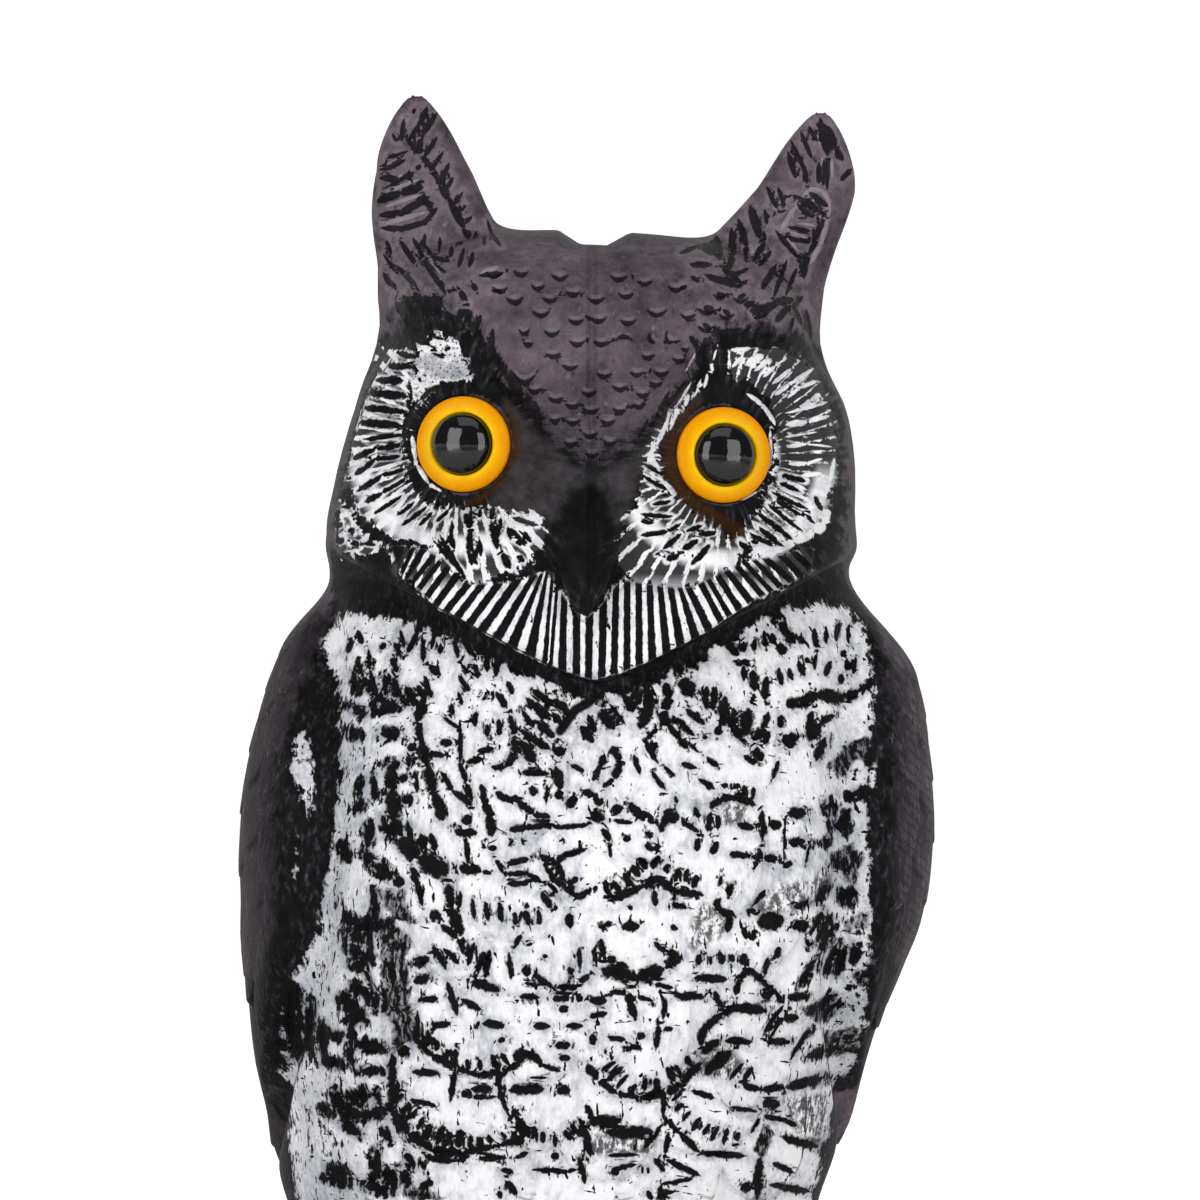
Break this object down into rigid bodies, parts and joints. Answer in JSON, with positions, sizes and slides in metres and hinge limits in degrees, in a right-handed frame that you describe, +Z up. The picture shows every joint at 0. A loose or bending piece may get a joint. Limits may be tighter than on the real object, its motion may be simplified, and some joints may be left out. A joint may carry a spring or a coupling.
{
  "type": "owl decoy",
  "caption": "Moulded plastic great horned owl decoy with ear tufts, set-in yellow eyes and carved plumage, standing on a low round stump.",
  "frame": {"origin": "centre of the stump's flat underside", "axes": "+Z up through the head, the owl faces -Y, +X towards the owl's left"},
  "size_m": [0.1906, 0.1651, 0.4036],
  "materials": {
    "plumage": "satin moulded plastic, black ground dry-brushed with white and purple-brown paint",
    "iris": "glossy yellow, deeper orange at the rim",
    "pupil": "polished black dome"
  },
  "bodies": {
    "root": {"owl_body": "plumage", "iris_right": "iris", "iris_left": "iris", "pupil_right": "pupil", "pupil_left": "pupil"}
  },
  "joints": []
}
